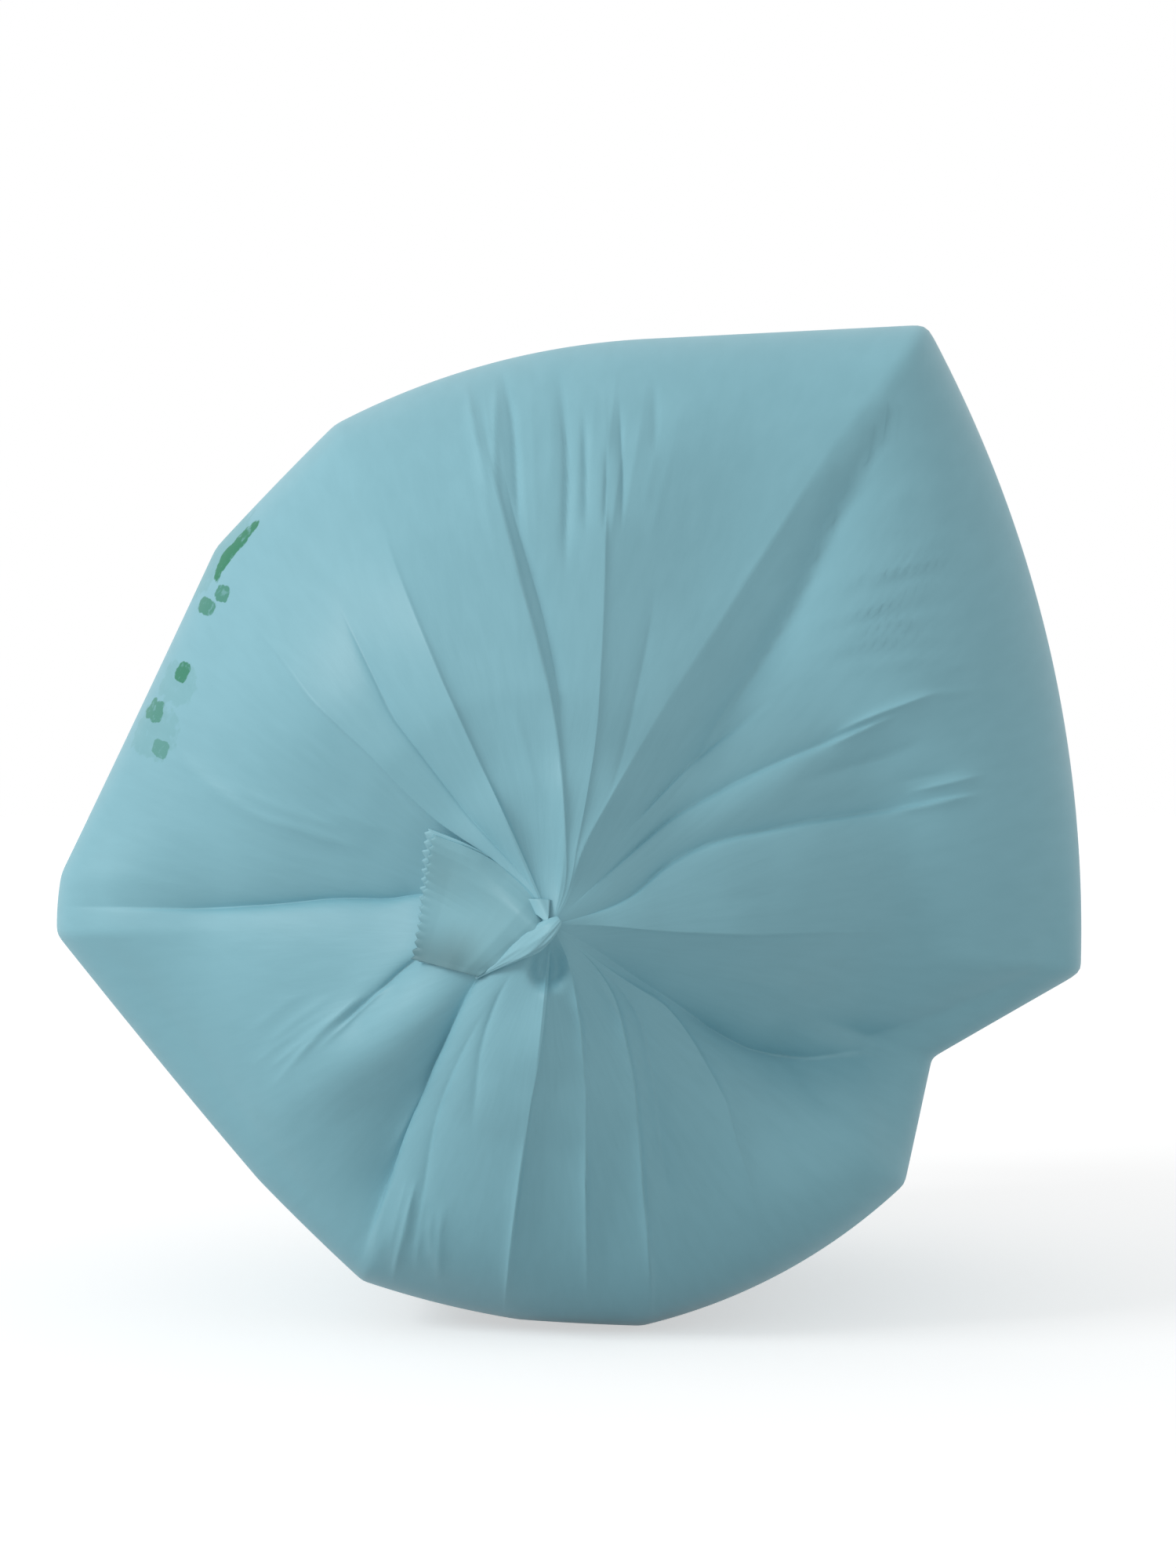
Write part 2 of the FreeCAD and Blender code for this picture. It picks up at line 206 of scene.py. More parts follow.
STRANDS = [Crease(*row) for row in (
    (((47, 55), (50.4, 70), (52.3, 112), (55, 142), (56.2, 175), (57.5, 195)), -6.5, 12, 9),
    (((66, 13), (67.5, 22), (65, 36), (64, 52)), 5, 20, 14),
    (((75, 5), (80, 18), (84, 30), (88, 48)), 3, 12, 10),
    (((116, 4), (114, 26), (113.5, 46)), 4.5, 8, 16),
    (((113.2, 26), (114.2, 66), (113.9, 88)), 1.1, 2, 14),
    (((359, 8), (357, 26), (357, 50), (358, 74)), 6, 22, 60),
    (((263, 4), (264, 20), (263.8, 44)), 6.5, 24, 16),
    (((166, 38), (171, 48), (173, 66), (174.8, 77), (176, 88), (177.4, 112), (177.6, 125)),
      -1.4, 3, 2),
    # double lines at the ends of the folds on the right
    (((18.3, 104), (17.3, 121), (17.1, 131)), 1.3, 1.3, 0.9),
    (((20.2, 113), (19.5, 124), (19.1, 133)), 1.4, 2.2, 1.3),
    (((33, 94), (32.1, 103), (31.5, 115)), 1.5, 1.4, 0.8),
    (((33.9, 100), (33.3, 107), (32.5, 114), (31.7, 121), (31, 130)), 1.8, 2, 1.5),
    (((29.8, 80), (28, 98), (26.8, 107), (26.3, 122)), -1.5, 3.5, 3),
    (((22.5, 108), (21.5, 118), (20.5, 126)), -0.7, 3, 3),
    (((8, 48), (6.5, 66)), -0.6, 3, 5),
    # above the seal
    (((66, 39), (70, 65), (72, 88), (73, 100)), -0.9, 5, 3, 0.3),
    (((96, 33), (101, 62)), 0.9, 3, 5, -0.2),
    (((97.2, 122), (96.4, 146), (95.6, 163)), 1, 1.4, 1.4),
    (((98.4, 122), (98.9, 146), (98.9, 163)), 0.9, 1.3, 1.3),
    (((87.5, 56), (90.2, 73), (93.4, 96), (95.2, 112), (96.2, 130)), -1.9, 5, 2.2),
    (((94.8, 112), (94.4, 136), (94.5, 149), (95.2, 166)), -1.4, 1.8, 1.4),
    (((88, 100), (88, 126), (88.4, 141), (89.4, 166)), -1.7, 2.4, 1.6),
    (((85.2, 110), (85.8, 131), (86.7, 152)), -1.5, 2.2, 1.5),
    (((82.5, 112), (83.6, 140)), -1.3, 1.2, 1.2),
    (((80.2, 116), (81.5, 135), (82.8, 154)), -1.3, 2, 1.6),
    (((77.6, 138), (79.5, 163)), -0.8, 2, 1.8),
    # out to the left
    (((151, 55), (153, 73)), 0.6, 2, 3),
    (((158.5, 61), (159.5, 82), (160, 89), (158, 108), (155, 127)), 1.2, 2.5, 2.5),
    (((155.5, 66), (157, 88), (156, 105)), 0.8, 2.5, 2.5),
    (((200.8, 50), (204.8, 63), (208.8, 79)), 1.3, 1.2, 1),
    (((200.4, 58), (204.2, 72), (209.2, 90)), 1.1, 1.5, 1.5),
    # the tubes below the seal
    (((232, 60), (233.6, 73), (235.3, 90)), 0.9, 1.2, 1.2),
    (((231, 19), (239.5, 37), (246, 51), (249.5, 64)), -1.8, 3, 3, 0.3),
    (((233, 33), (235.3, 45), (238.8, 65), (242.8, 81), (245.9, 96), (248, 110)),
      -1.8, 4, 2.6, 0.3),
    (((242.5, 90), (244.6, 104), (246.2, 118)), 1.2, 1.4, 1.4),
    (((262.6, 60), (262.6, 90), (263.1, 120)), 0.9, 1, 1.2),
    (((279.2, 58), (276.9, 78), (275.2, 112)), 0.8, 1, 1.2),
    (((292.7, 62), (288.5, 81), (286.2, 100), (284.6, 115)), 0.9, 1.1, 1.1),
    (((309.7, 20), (306.5, 31), (300.8, 42)), 1.6, 5, 2),
    (((294, 11), (287.6, 22), (284.6, 31), (282.5, 42)), 1.6, 4, 2),
    (((318, 24), (314, 36), (305.5, 48), (298.8, 64), (294.6, 78), (292, 94)), -3.2, 3, 7),
    (((343, 50), (345, 69), (348, 84)), 0.7, 2.5, 2.5),
    (((332, 90), (329, 97), (326, 105), (323, 113)), -1.1, 2.5, 4),
    ((*LOBE_EDGE, (341, 140)), -6, 24, 8),
)]

# Sets of small wrinkles side by side: middles of the first and the last, their reach,
# how many there are, how far each leans over its length, and their height.
Wrinkles = namedtuple("Wrinkles", "first last start end count lean height")
WRINKLES = (
    Wrinkles(76, 101, 112, 164, 15, 0, 0.35),
    Wrinkles(198, 208, 72, 104, 5, 5, 0.5),
    Wrinkles(240, 251, 88, 112, 6, 4, 0.7),
    Wrinkles(318, 332, 95, 118, 3, -4, 0.3),
)

# Places where the film on the counter-clockwise side hangs over the film beside it:
# the path of its edge, how far back its edge turns, how far it rises over the film
# beside it, how much of that film it hides, how far the drop is felt beside it, and the
# reaches at which it starts, is full, starts to fade and has gone.
Overhang = namedtuple("Overhang", "path round rise hidden beside grows")
OVERHANGS = (
    Overhang(((212, 18), (216.2, 25), (222, 33), (227.5, 44), (232.5, 63), (235, 80),
              (236.9, 91), (238.6, 103), (241, 116)), 34, 10, 2, 15, (8, 50, 92, 119)),
)

# Short wrinkles across the film to the right of the peak's ridge: middles of the lowest
# and the highest, their length, turn, number, half width and height.
Ripples = namedtuple("Ripples", "low high length turn count width height")
RIPPLES = (
    Ripples((100, 76), (92, 150), 30, 10, 15, 1.2, 0.8),
    Ripples((118, 66), (108, 128), 18, 6, 9, 1.2, 0.35),
)

# Hollows and bumps pressed in the film: middle, half length, half width, turn, height,
# and how steep the sides are.
Dent = namedtuple("Dent", "across up length width turn height power", defaults=(2,))
DENTS = (
    Dent(-0.8, -11, 6, 4.4, 84, -6, 4),
    Dent(-47, -32, 34, 12, 34, 6),
    Dent(66, -60, 40, 26, -42, 5),
    Dent(62, 40, 46, 11, 33, 3),
    Dent(-12, -44, 34, 22, -15, 9),
    Dent(4, 4, 16, 14, 45, 4.5),
    Dent(-42, 80, 45, 30, 112, 8),
    Dent(52, 108, 50, 26, 62, -7),
    Dent(100, -20, 70, 34, -10, -12),
    Dent(-46, 70, 40, 24, 125, -6),
    Dent(-48, 22, 42, 24, 155, -6.5),
)

# Shallow hollows in the sides, where the film buckles between the two ends.
BUCKLE_COUNT = 34
BUCKLE_OUTS = (-BARREL_LENGTH - 60, -8)
BUCKLE_LENGTHS, BUCKLE_WIDTHS = (16, 44), (5, 12)
BUCKLE_LEAN = 35
BUCKLE_DEPTHS = (0.8, 2.8)

REACHES = np.arange(0, 340.0)
PATH_ROUNDING = 3.0
# Creases grow with reach, and have their full height and width from this reach on.
FULL_REACH = 62.0
CREASE_GROWTH = 0.5
LEAST_WIDTH = 0.1
STEP_WIDTH = 0.6
# Turns from a crease between which its lift fades out on the far side of the seal.
FAR_SIDE = (80, 170)
# Where a crease fades, in shares of its length from its start and from its end.
FADE_IN, FADE_OUT = (-0.1, 0.2), (-0.4, 0.03)


def path_table(path):
    """Angle of a path at each whole millimetre of reach."""
    angles, reaches = np.array(path, dtype=float).T
    return smoothed(np.interp(REACHES, reaches, angles), PATH_ROUNDING, wrap=False)


def fading(path, reach):
    """1 along a crease, down to 0 at its two ends."""
    start, end = path[0][1], path[-1][1]
    length = end - start
    fade_in = ease(start + FADE_IN[0] * length, start + FADE_IN[1] * length, reach)
    fade_out = 1 - ease(end + FADE_OUT[0] * length, end + FADE_OUT[1] * length, reach)
    return fade_in * fade_out


def crease_height(crease, angle, reach, radius):
    """How far one crease lifts the film, at angles about an axis, reaches and radii."""
    growth = np.clip(radius / FULL_REACH, 0, 1)
    turn = turn_between(angle, np.interp(reach, REACHES, path_table(crease.path)))
    clockwise = turn < 0
    away = np.abs(np.radians(turn) * radius)
    width = np.where(clockwise, crease.before, crease.after) * growth + LEAST_WIDTH
    profile = np.exp(-away / width) * (1 - ease(*FAR_SIDE, np.abs(turn)))
    if crease.step:
        stepped = clockwise if crease.step < 0 else ~clockwise
        sharp = np.exp(-away / (STEP_WIDTH * growth + LEAST_WIDTH))
        profile = between(profile, sharp, abs(crease.step) * stepped)
    return crease.height * growth ** CREASE_GROWTH * fading(crease.path, reach) * profile


# How far single wrinkles stray, and what their starts, ends and heights are drawn from.
WRINKLE_STRAY = 0.35
WRINKLE_STARTS, WRINKLE_ENDS, WRINKLE_HEIGHTS = (-0.15, 0.2), (-0.3, 0.1), (0.6, 1.3)
WRINKLE_WIDTHS = (1.3, 1.6)


def wrinkle_creases(rng):
    """Each set of wrinkles as single creases, uneven as creased film is."""
    creases = []
    for group in WRINKLES:
        length = group.end - group.start
        lean = group.lean / 2
        for middle in np.linspace(group.first, group.last, group.count):
            middle += rng.uniform(-WRINKLE_STRAY, WRINKLE_STRAY)
            start = group.start + rng.uniform(*WRINKLE_STARTS) * length
            end = group.end + rng.uniform(*WRINKLE_ENDS) * length
            height = group.height * rng.uniform(*WRINKLE_HEIGHTS)
            path = ((middle - lean, start), (middle, (start + end) / 2), (middle + lean, end))
            creases.append(Crease(path, height, *WRINKLE_WIDTHS))
    return creases


# Ranges that the pleats at the mouth, and the long soft creases beyond, are drawn from.
GATHER_COUNT, FOLLOW_COUNT = 46, 19
GATHER_STRAY, FOLLOW_STRAY = 0.4, 0.3
GATHER_ENDS, GATHER_HEIGHTS, GATHER_WIDTHS = (70, 230), (2.5, 6.5), (4, 16)
GATHER_STEPS = (-0.35, 0, 0.35)
GATHER_BEND, FOLLOW_BEND = 3, 5
FOLLOW_STARTS, FOLLOW_ENDS = (60, 120), (220, 300)
FOLLOW_HEIGHTS, FOLLOW_WIDTHS = (0.8, 2.2), (6, 22)


def gather_creases(rng):
    """Pleats that run out from the tied mouth over the back, and long soft ones beyond."""
    creases = []
    for index in range(GATHER_COUNT):
        angle = (index + rng.uniform(-GATHER_STRAY, GATHER_STRAY)) * 360 / GATHER_COUNT
        end = rng.uniform(*GATHER_ENDS)
        height = rng.uniform(*GATHER_HEIGHTS)
        before, after = rng.uniform(*GATHER_WIDTHS, 2)
        step = rng.choice(GATHER_STEPS)
        bend = rng.uniform(-GATHER_BEND, GATHER_BEND)
        path = ((angle, 2), (angle + bend, end / 2), (angle + bend * 1.5, end))
        creases.append(Crease(path, height, before, after, step))
    for index in range(FOLLOW_COUNT):
        angle = (index + rng.uniform(-FOLLOW_STRAY, FOLLOW_STRAY)) * 360 / FOLLOW_COUNT
        start, end = rng.uniform(*FOLLOW_STARTS), rng.uniform(*FOLLOW_ENDS)
        height = rng.uniform(*FOLLOW_HEIGHTS) * rng.choice((-1, 1))
        before, after = rng.uniform(*FOLLOW_WIDTHS, 2)
        bend = rng.uniform(-FOLLOW_BEND, FOLLOW_BEND)
        path = ((angle, start), (angle + bend, (start + end) / 2), (angle, end))
        creases.append(Crease(path, height, before, after))
    return creases


def oval_distance(across, up, dent):
    """Distance from a dent's middle, as a share of its half length and half width."""
    along, beside = turned(across - dent.across, up - dent.up, -dent.turn)
    return np.hypot(along / dent.length, beside / dent.width)


# How far single ripples stray across, up and in turn, and factors on length and height.
STRAY_ACROSS, STRAY_UP, STRAY_TURN = 6, 1, 4
RIPPLE_LENGTHS, RIPPLE_HEIGHTS = (0.7, 1.2), (0.5, 1.3)


def ripple_dents(rng):
    """Each set of ripples as single long, narrow dents."""
    dents = []
    for group in RIPPLES:
        for share in np.linspace(0, 1, group.count):
            across = between(group.low[0], group.high[0], share)
            across += rng.uniform(-STRAY_ACROSS, STRAY_ACROSS)
            up = between(group.low[1], group.high[1], share) + rng.uniform(-STRAY_UP, STRAY_UP)
            length = group.length / 2 * rng.uniform(*RIPPLE_LENGTHS)
            turn = group.turn + rng.uniform(-STRAY_TURN, STRAY_TURN)
            height = group.height * rng.uniform(*RIPPLE_HEIGHTS)
            dents.append(Dent(across, up, length, group.width, turn, height))
    return dents


def buckle_dents(rng):
    """Hollows in the bag's sides, placed by angle round the bag and distance out."""
    dents = []
    for _ in range(BUCKLE_COUNT):
        middle, out = rng.uniform(0, 360), rng.uniform(*BUCKLE_OUTS)
        length, width = rng.uniform(*BUCKLE_LENGTHS), rng.uniform(*BUCKLE_WIDTHS)
        turn = 90 + rng.uniform(-BUCKLE_LEAN, BUCKLE_LEAN)
        dents.append(Dent(middle, out, length, width, turn, -rng.uniform(*BUCKLE_DEPTHS)))
    return dents


# Overhangs grow with reach, from a least share near the seal to full at this reach.
OVERHANG_REACH, LEAST_OVERHANG = 80, 0.25
# The film beside the edge slides in most where it is SLIDE_MIDDLE of the hidden width
# away, and there by SLIDE / e of that width.
SLIDE, SLIDE_MIDDLE = 2.5, 0.7
# Shares of the rise by which the film is lowered at the edge, and further in under it.
SUNK_AT_EDGE, SUNK_BELOW = 0.9, 0.1


def hang_over(overhang, angle, reach):
    """Slides the film beside an overhanging edge in under it, and lowers it there."""
    begins, full, fades, gone = overhang.grows
    strength = ease(begins, full, reach) * (1 - ease(fades, gone, reach))
    growth = np.clip(reach / OVERHANG_REACH, LEAST_OVERHANG, 1)
    edge = np.interp(reach, REACHES, path_table(overhang.path))
    distance = np.radians(turn_between(angle, edge)) * reach
    beside = distance < 0
    under = np.clip(-distance / (SLIDE_MIDDLE * overhang.hidden * growth), 0, None)
    slide = np.where(beside, SLIDE * overhang.hidden * growth * strength * under * np.exp(-under), 0)
    rounded = np.clip(distance / (overhang.round * growth), 0, 1)
    crown = -SUNK_AT_EDGE * (1 - np.sqrt(1 - (1 - rounded) ** 2))
    sunk = -SUNK_AT_EDGE - SUNK_BELOW * ease(0, 1, under)
    felt = np.exp(-np.clip(-distance - overhang.hidden * growth, 0, None) / (overhang.beside * growth))
    drop = np.where(beside, sunk * felt, crown) * overhang.rise * strength
    return angle + np.degrees(slide / np.maximum(reach, 5)), drop


# ---------------------------------------------------------------- the film
FRONT_COLUMNS = 880
BACK_COLUMNS = FRONT_COLUMNS // 2
LEAST_COLUMNS = 8
FRONT_ROWS, BARREL_ROWS, BACK_ROWS, NECK_ROWS = 78, 26, 35, 5
DOME_POWER = 2.25
# Rows start this far off the middle, in degrees, and crowd together towards it.
FRONT_START, FRONT_CROWD = 0.3, 1.5
BACK_START, BACK_CROWD = 1.0, 2.0
CROWD_FALL = 4
FINE_STEPS = 2000
# How much columns crowd along the guides, and the degrees each busy line counts for.
CROWDING = 0.6
BUSY_DEGREES = 2.0
# Shares of the full reach over which the outline sharpens, and creases flatten out.
SHARPENING, FLATTENING = (0.55, 0.97), (0.93, 1.0)
POINT_HEIGHT = 22.0
POINT_REACH = 32.0
# The bag leans this far to the right and up for each millimetre out.
LEAN_ACROSS, LEAN_UP = 0.011, 0.0428
# The back: its first rows, how soft its outline is behind the barrel, the dome step from
# which it is wholly soft, and least radii for pleats and buckles.
BARREL_START, NECK_START = 0.04, 0.2
BARREL_SOFTNESS, SOFT_FROM = 0.5, 20
LEAST_PLEAT_RADIUS, LEAST_BUCKLE_RADIUS = 14, 40
SIDE_FADE = 0.3
NECK_PLEATS = 0.4


def guide_tables():
    """Paths that columns of the mesh follow, in order round the seal."""
    paths = [crease.path for crease in FOLDS] + [overhang.path for overhang in OVERHANGS]
    tables = [path_table(path) for path in paths]
    return sorted(tables, key=lambda table: table[-1])


def column_angles(reach, busy):
    """Angles of all the columns in each row, crowded together along the guides.

    The gaps between guides get more columns where many of the busy angles are.
    """
    tables = guide_tables()
    ends = np.array([table[-1] for table in tables])
    gaps = np.diff(np.append(ends, ends[0] + 360))
    demand = gaps + BUSY_DEGREES * np.array([sum(0 < (angle - end) % 360 < gap for angle in busy)
                                             for end, gap in zip(ends, gaps)])
    counts = np.round(demand / demand.sum() * FRONT_COLUMNS).astype(int)
    counts = np.maximum(counts, LEAST_COLUMNS)
    counts[np.argmax(counts)] += FRONT_COLUMNS - counts.sum()
    lines = np.stack([np.interp(reach, REACHES, table) for table in tables])
    lines = np.concatenate([lines, lines[:1] + 360])
    columns = []
    for gap, count in enumerate(counts):
        share = np.arange(count) / count
        share = share - CROWDING * np.sin(tau * share) / tau
        columns.append(between(lines[gap][:, None], lines[gap + 1][:, None], share))
    return np.concatenate(columns, axis=1)


def dome_share(step):
    """Share of the full reach at a step in degrees from the bag's axis."""
    return np.sin(np.radians(step)) ** (2 / DOME_POWER)


def dome_out(step):
    """Share of the full depth at a step in degrees from the bag's axis."""
    return np.cos(np.radians(step)) ** (2 / DOME_POWER)


def spread_steps(count, start, crowd):
    """Steps over the dome for evenly spaced rows, drawn together near its middle."""
    steps = np.linspace(start, 90, FINE_STEPS)
    share, out = dome_share(steps), dome_out(steps)
    run = np.hypot(np.diff(share) * SOFT_OUTLINE.mean(), np.diff(out) * FRONT_DEPTH)
    run = run * (1 + crowd * np.exp(-CROWD_FALL * share[1:]))
    total = np.concatenate([[0], np.cumsum(run)])
    return np.interp(np.linspace(0, total[-1], count), total, steps)


def lift_off(share, out_share, depth, full):
    """How far a lift along the dome's normal goes outward and forward."""
    steepness = depth / full * (share / np.maximum(out_share, 0.02)) ** (DOME_POWER - 1)
    length = np.sqrt(1 + steepness ** 2)
    return steepness / length, 1 / length


def front_reach(angle, share):
    """The dome's full reach, soft near the seal and sharp at the widest part."""
    soft, sharp = reach_of(SOFT_OUTLINE, angle), reach_of(SHARP_OUTLINE, angle)
    return between(soft, sharp, ease(*SHARPENING, share))


def front_film(creases, dents):
    """Rows of points from the seal out to the widest part of the bag."""
    steps = spread_steps(FRONT_ROWS, FRONT_START, FRONT_CROWD)
    share, out_share = dome_share(steps)[:, None], dome_out(steps)[:, None]
    busy = [crease.path[-1][0] for crease in creases]
    angle = column_angles(share[:, 0] * SOFT_OUTLINE.mean(), busy)
    height = 0
    for overhang in OVERHANGS:
        angle, drop = hang_over(overhang, angle, share * front_reach(angle, share))
        height = height + drop
    full = front_reach(angle, share)
    reach = share * full
    for crease in creases:
        height = height + crease_height(crease, angle, reach, reach)
    turn = np.radians(angle)
    across, up = reach * np.cos(turn), reach * np.sin(turn)
    for dent in dents:
        height = height + dent.height * np.exp(-oval_distance(across, up, dent) ** dent.power)
    height *= 1 - ease(*FLATTENING, share)
    height += POINT_HEIGHT * np.exp(-reach / POINT_REACH)
    outward, forward = lift_off(share, out_share, FRONT_DEPTH, full)
    reach = reach + height * outward
    out = FRONT_DEPTH * out_share + height * forward
    across = reach * np.cos(turn) + LEAN_ACROSS * out
    up = reach * np.sin(turn) + LEAN_UP * out
    return across, up, out, angle[-1]


def back_film(rim_angles, creases, buckles):
    """Rows of points from just behind the widest part back into the knot."""
    angle = rim_angles[None, :]
    barrel = np.linspace(BARREL_START, 1, BARREL_ROWS)[:, None]
    steps = spread_steps(BACK_ROWS, BACK_START, BACK_CROWD)[::-1][1:, None]
    neck = np.linspace(NECK_START, 1, NECK_ROWS)[:, None]
    share = np.concatenate([np.ones_like(barrel), dome_share(steps), np.zeros_like(neck)])
    out_share = np.concatenate([np.zeros_like(barrel), dome_out(steps), np.ones_like(neck)])
    closing = BARREL_SOFTNESS + (1 - BARREL_SOFTNESS) * ease(90, SOFT_FROM, steps)
    softness = np.concatenate([BARREL_SOFTNESS * ease(0, 1, barrel), closing, np.ones_like(neck)])
    full = between(reach_of(SHARP_OUTLINE, angle), reach_of(ROUND_OUTLINE, angle), softness)
    radius = NECK_RADIUS + (full - NECK_RADIUS) * share
    out = -BACK_DEPTH * out_share
    out[:BARREL_ROWS] -= BARREL_LENGTH * barrel
    out[BARREL_ROWS:] -= BARREL_LENGTH
    out[-NECK_ROWS:] -= NECK_LENGTH * neck
    out = out + 0 * angle
    run = np.hypot(np.diff(radius, axis=0), np.diff(out, axis=0))
    behind = np.concatenate([run, np.zeros_like(angle)])[::-1].cumsum(axis=0)[::-1]
    height = 0
    pleated = np.maximum(radius, LEAST_PLEAT_RADIUS)
    for crease in creases:
        height = height + crease_height(crease, angle, behind, pleated)
    for buckle in buckles:
        turn = np.radians(turn_between(angle, buckle.across))
        beside = turn * np.maximum(radius, LEAST_BUCKLE_RADIUS)
        spot = buckle._replace(across=0)
        height = height + buckle.height * np.exp(-oval_distance(beside, out, spot) ** buckle.power)
    height[:BARREL_ROWS] *= ease(0, SIDE_FADE, barrel)
    outward, backward = lift_off(share, out_share, BACK_DEPTH, full)
    outward[:BARREL_ROWS], backward[:BARREL_ROWS] = 1, 0
    outward[-NECK_ROWS:], backward[-NECK_ROWS:] = NECK_PLEATS, 0
    radius = radius + height * outward
    out = out - height * backward
    turn = np.radians(angle)
    across = NECK_ACROSS * (1 - share) + radius * np.cos(turn)
    up = NECK_UP * (1 - share) + radius * np.sin(turn)
    return across, up, out


def strip_faces(start, rows, columns, closed=True):
    """Quads between rows of points, which go once round if closed."""
    across = np.arange(columns if closed else columns - 1)
    here = start + across + np.arange(rows - 1)[:, None] * columns
    beside = start + (across + 1) % columns + np.arange(rows - 1)[:, None] * columns
    return np.stack([here, here + columns, beside + columns, beside], axis=-1).reshape(-1, 4).tolist()


def tube_faces(rows, columns):
    """Faces of a tube of rings, with a cap at each end."""
    last = (rows - 1) * columns
    caps = [tuple(range(columns)), tuple(reversed(range(last, last + columns)))]
    return strip_faces(0, rows, columns) + caps


def new_mesh(name, points, faces):
    """A smooth-shaded mesh."""
    mesh = bpy.data.meshes.new(name)
    mesh.from_pydata(points.tolist(), [], faces)
    mesh.validate()
    mesh.polygons.foreach_set("use_smooth", [True] * len(mesh.polygons))
    return mesh


def film_mesh(rng):
    """The whole blown-up bag: its front, and a back with half as many columns."""
    creases = FOLDS + STRANDS + wrinkle_creases(rng)
    dents = list(DENTS) + ripple_dents(rng)
    *front, rim_angles = front_film(creases, dents)
    front = [part.reshape(-1) for part in front]
    pleats, buckles = gather_creases(rng), buckle_dents(rng)
    back = [part.reshape(-1) for part in back_film(rim_angles[::2], pleats, buckles)]
    across, up, out = [np.concatenate(pair) for pair in zip(front, back)]
    points = to_row(across, np.maximum(up, -SEAL_HEIGHT), out)
    front_count = FRONT_ROWS * FRONT_COLUMNS
    faces = strip_faces(0, FRONT_ROWS, FRONT_COLUMNS)
    last_row = front_count - FRONT_COLUMNS
    for column in range(BACK_COLUMNS):
        first, middle = last_row + 2 * column, last_row + 2 * column + 1
        last = last_row + (2 * column + 2) % FRONT_COLUMNS
        behind = front_count + column
        beside = front_count + (column + 1) % BACK_COLUMNS
        faces += [(first, behind, middle), (middle, behind, beside), (middle, beside, last)]
    faces += strip_faces(front_count, len(back[0]) // BACK_COLUMNS, BACK_COLUMNS)
    faces.append(tuple(range(FRONT_COLUMNS)))
    faces.append(tuple(reversed(range(len(points) - BACK_COLUMNS, len(points)))))
    return new_mesh("film", points, faces)


# ---------------------------------------------------------------- the seal's tab
# The star seal is the gathered end of the tube.  Its tab stands up along a short line by
# the seal and falls over to the left, in layers with saw-toothed ends.  Places are
# (across, up) about the seal, seen from the front.
SEAL_START, SEAL_END = np.array((-20.5, -14.2)), np.array((1.4, 1.0))
TAB_LOW, TAB_HIGH = np.array((-38.6, -9.8)), np.array((-32.6, 24.9))
TAB_ROWS, TAB_COLUMNS = 73, 154
# Rows crowd towards the root by a power, and one place in so many is laid on the film.
TAB_CROWD, TAB_COARSE = 1.4, 9
TAB_FLAT_FROM = 0.05
TAB_BULGE = 3.4
TAB_THICKNESS = 0.5
TAB_STAND, TAB_REST, TAB_SUNK = 1.3, 1.0, 2.5
TAB_PLEATS, TAB_WAVES, TAB_DROOP, TAB_TUCK = 0.8, 0.5, -2.2, -4.5
TOOTH_PITCH, TOOTH_DEPTH = 2.4, 1.1

# How far each layer of the tab sticks out past the top one at its low and high corners,
# how far it is turned, how high it lies, and how deep its teeth are.
Layer = namedtuple("Layer", "low_reach high_reach turn lift teeth")
TAB_LAYERS = (
    Layer(0, 0, 0, 0.6, 1),
    Layer(-1, 2.6, -1, -0.5, 1.3),
    Layer(-2, -1, 1, -1.4, 1),
)

# The seal's ridge: the share by which it runs on past the seal, its bend aside, its half
# width and the growth of that, its flutes as (count, twist), and its height and lean.
RIDGE_ROWS, RIDGE_COLUMNS = 70, 96
RIDGE_PAST, RIDGE_BEND = 0.04, 1.2
RIDGE_SIZE, RIDGE_GROWTH, RIDGE_BLUNTNESS = 1.5, 2.4, 0.02
RIDGE_FLUTES, FLUTE_DEPTH = ((5, 5.0), (8, -3.0), (13, 7.0)), 0.5
RIDGE_SHARE = 0.9
RIDGE_LIFT, RIDGE_RISE = 1.5, 0.5
RIDGE_LEAN = 0.5

# The loose corner beside the seal: its left, right and lowest corners, and their lifts.
FLAP_CORNERS = ((-10.4, 7.4), (-0.4, 7.0), (-1.0, 0.6))
FLAP_LIFTS = (0.6, 0.3, 1.6)
FLAP_STEPS = 16
FLAP_END, FLAP_CURL = 0.93, 0.5

# Rays start this far in front of the bag, and are aimed afresh so many times.
RAY_START, RAY_AIMS = 200, 3


def on_front(across, up, out):
    """Places seen from the front at (across, up) about the seal, as (across, up, out)."""
    return across + LEAN_ACROSS * out, up + LEAN_UP * out, out


def film_out(tree, across, up):
    """How far out the film stands at each place seen from the front."""
    outs = np.empty(across.shape)
    for index in np.ndindex(across.shape):
        guess = FRONT_DEPTH
        for _ in range(RAY_AIMS):
            x, z, _ = on_front(across[index], up[index], guess)
            origin = Vector(to_row(x, z, FRONT_DEPTH + RAY_START))
            spot, *_ = tree.ray_cast(origin, Vector((0, 1, 0)))
            if spot is None:
                break
            guess = SHOULDER_FROM_FRONT - (spot.y - BAG_LOW[1]) / MM
        outs[index] = guess
    return outs


